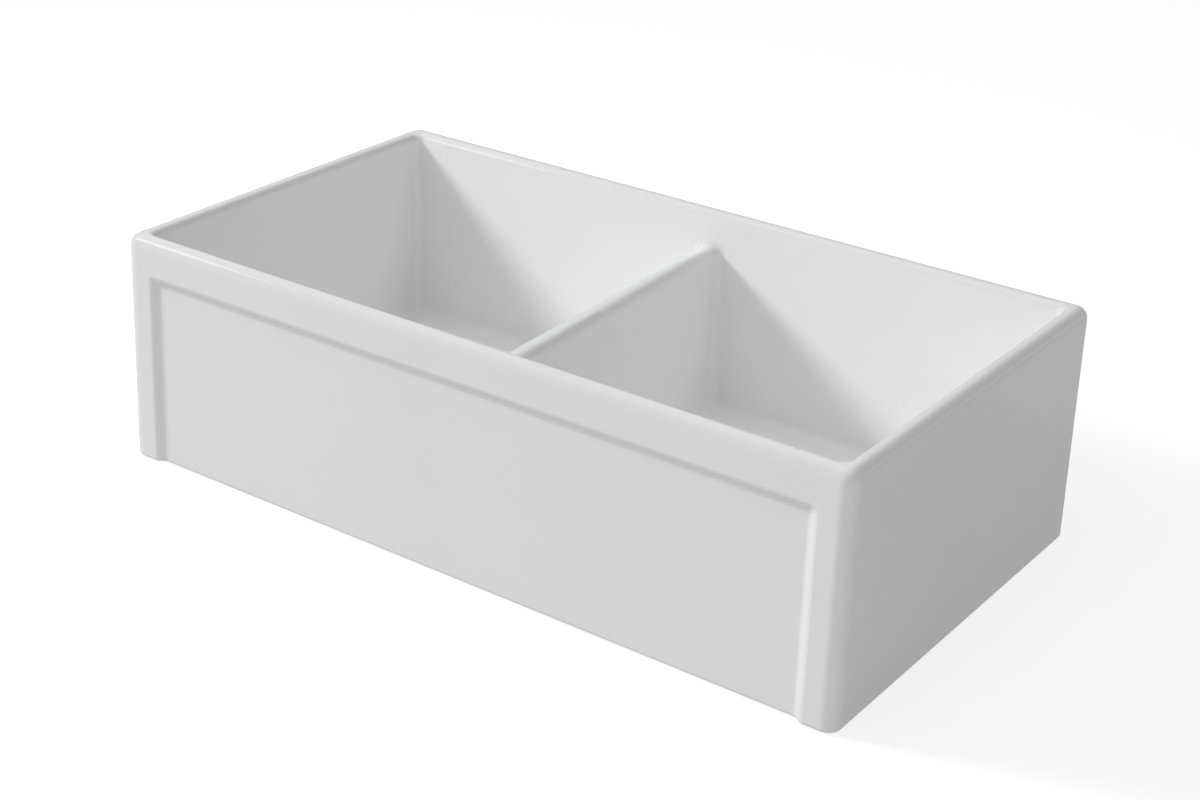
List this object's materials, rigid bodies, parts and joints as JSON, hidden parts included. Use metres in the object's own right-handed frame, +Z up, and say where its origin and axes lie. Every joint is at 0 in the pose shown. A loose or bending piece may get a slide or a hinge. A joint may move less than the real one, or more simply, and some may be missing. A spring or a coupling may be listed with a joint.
{
  "type": "farmhouse apron-front kitchen sink",
  "caption": "Double-bowl fireclay sink with a panelled apron front, a low divider, and a basket-strainer waste with a lift-out basket and sliding stopper in each bowl.",
  "frame": {"origin": "centre of the base face, where the foot ring and centre web rest on the cabinet", "axes": "+X to the right along the apron, +Y from the apron to the back, +Z up"},
  "size_m": [0.85, 0.47, 0.3693],
  "materials": {
    "fireclay": "glossy white glaze",
    "stainless_steel": "brushed stainless steel",
    "polished_steel": "polished plating",
    "cast_zinc": "as-cast zinc, matt",
    "seal_rubber": "black moulded rubber",
    "fibre_ring": "pressed fibre",
    "nylon": "natural nylon"
  },
  "bodies": {
    "root": {"sink_body": "fireclay", "left_strainer_body": "stainless_steel", "left_flange_seal": "seal_rubber", "left_hole_gasket": "seal_rubber", "left_slip_ring": "fibre_ring", "left_locknut": "cast_zinc", "left_tail_washer": "nylon", "left_tailpiece": "polished_steel", "left_coupling_nut": "polished_steel", "right_strainer_body": "stainless_steel", "right_flange_seal": "seal_rubber", "right_hole_gasket": "seal_rubber", "right_slip_ring": "fibre_ring", "right_locknut": "cast_zinc", "right_tail_washer": "nylon", "right_tailpiece": "polished_steel", "right_coupling_nut": "polished_steel"},
    "left_basket": {"left_basket": "stainless_steel", "left_guide_bush": "nylon"},
    "left_stopper": {"left_stopper_post": "stainless_steel", "left_stopper_washer": "stainless_steel", "left_stopper_seal": "seal_rubber", "left_stopper_nut": "stainless_steel", "left_stopper_knob": "polished_steel"},
    "right_basket": {"right_basket": "stainless_steel", "right_guide_bush": "nylon"},
    "right_stopper": {"right_stopper_post": "stainless_steel", "right_stopper_washer": "stainless_steel", "right_stopper_seal": "seal_rubber", "right_stopper_nut": "stainless_steel", "right_stopper_knob": "polished_steel"}
  },
  "joints": [
    {"name": "left_basket_lift", "type": "slide", "parent": "root", "child": "left_basket", "axis": [0, 0, 1], "range_m": [0, 0.1]},
    {"name": "left_stopper_lift", "type": "slide", "parent": "left_basket", "child": "left_stopper", "axis": [0, 0, 1], "range_m": [0, 0.007]},
    {"name": "right_basket_lift", "type": "slide", "parent": "root", "child": "right_basket", "axis": [0, 0, 1], "range_m": [0, 0.1]},
    {"name": "right_stopper_lift", "type": "slide", "parent": "right_basket", "child": "right_stopper", "axis": [0, 0, 1], "range_m": [0, 0.007]}
  ]
}
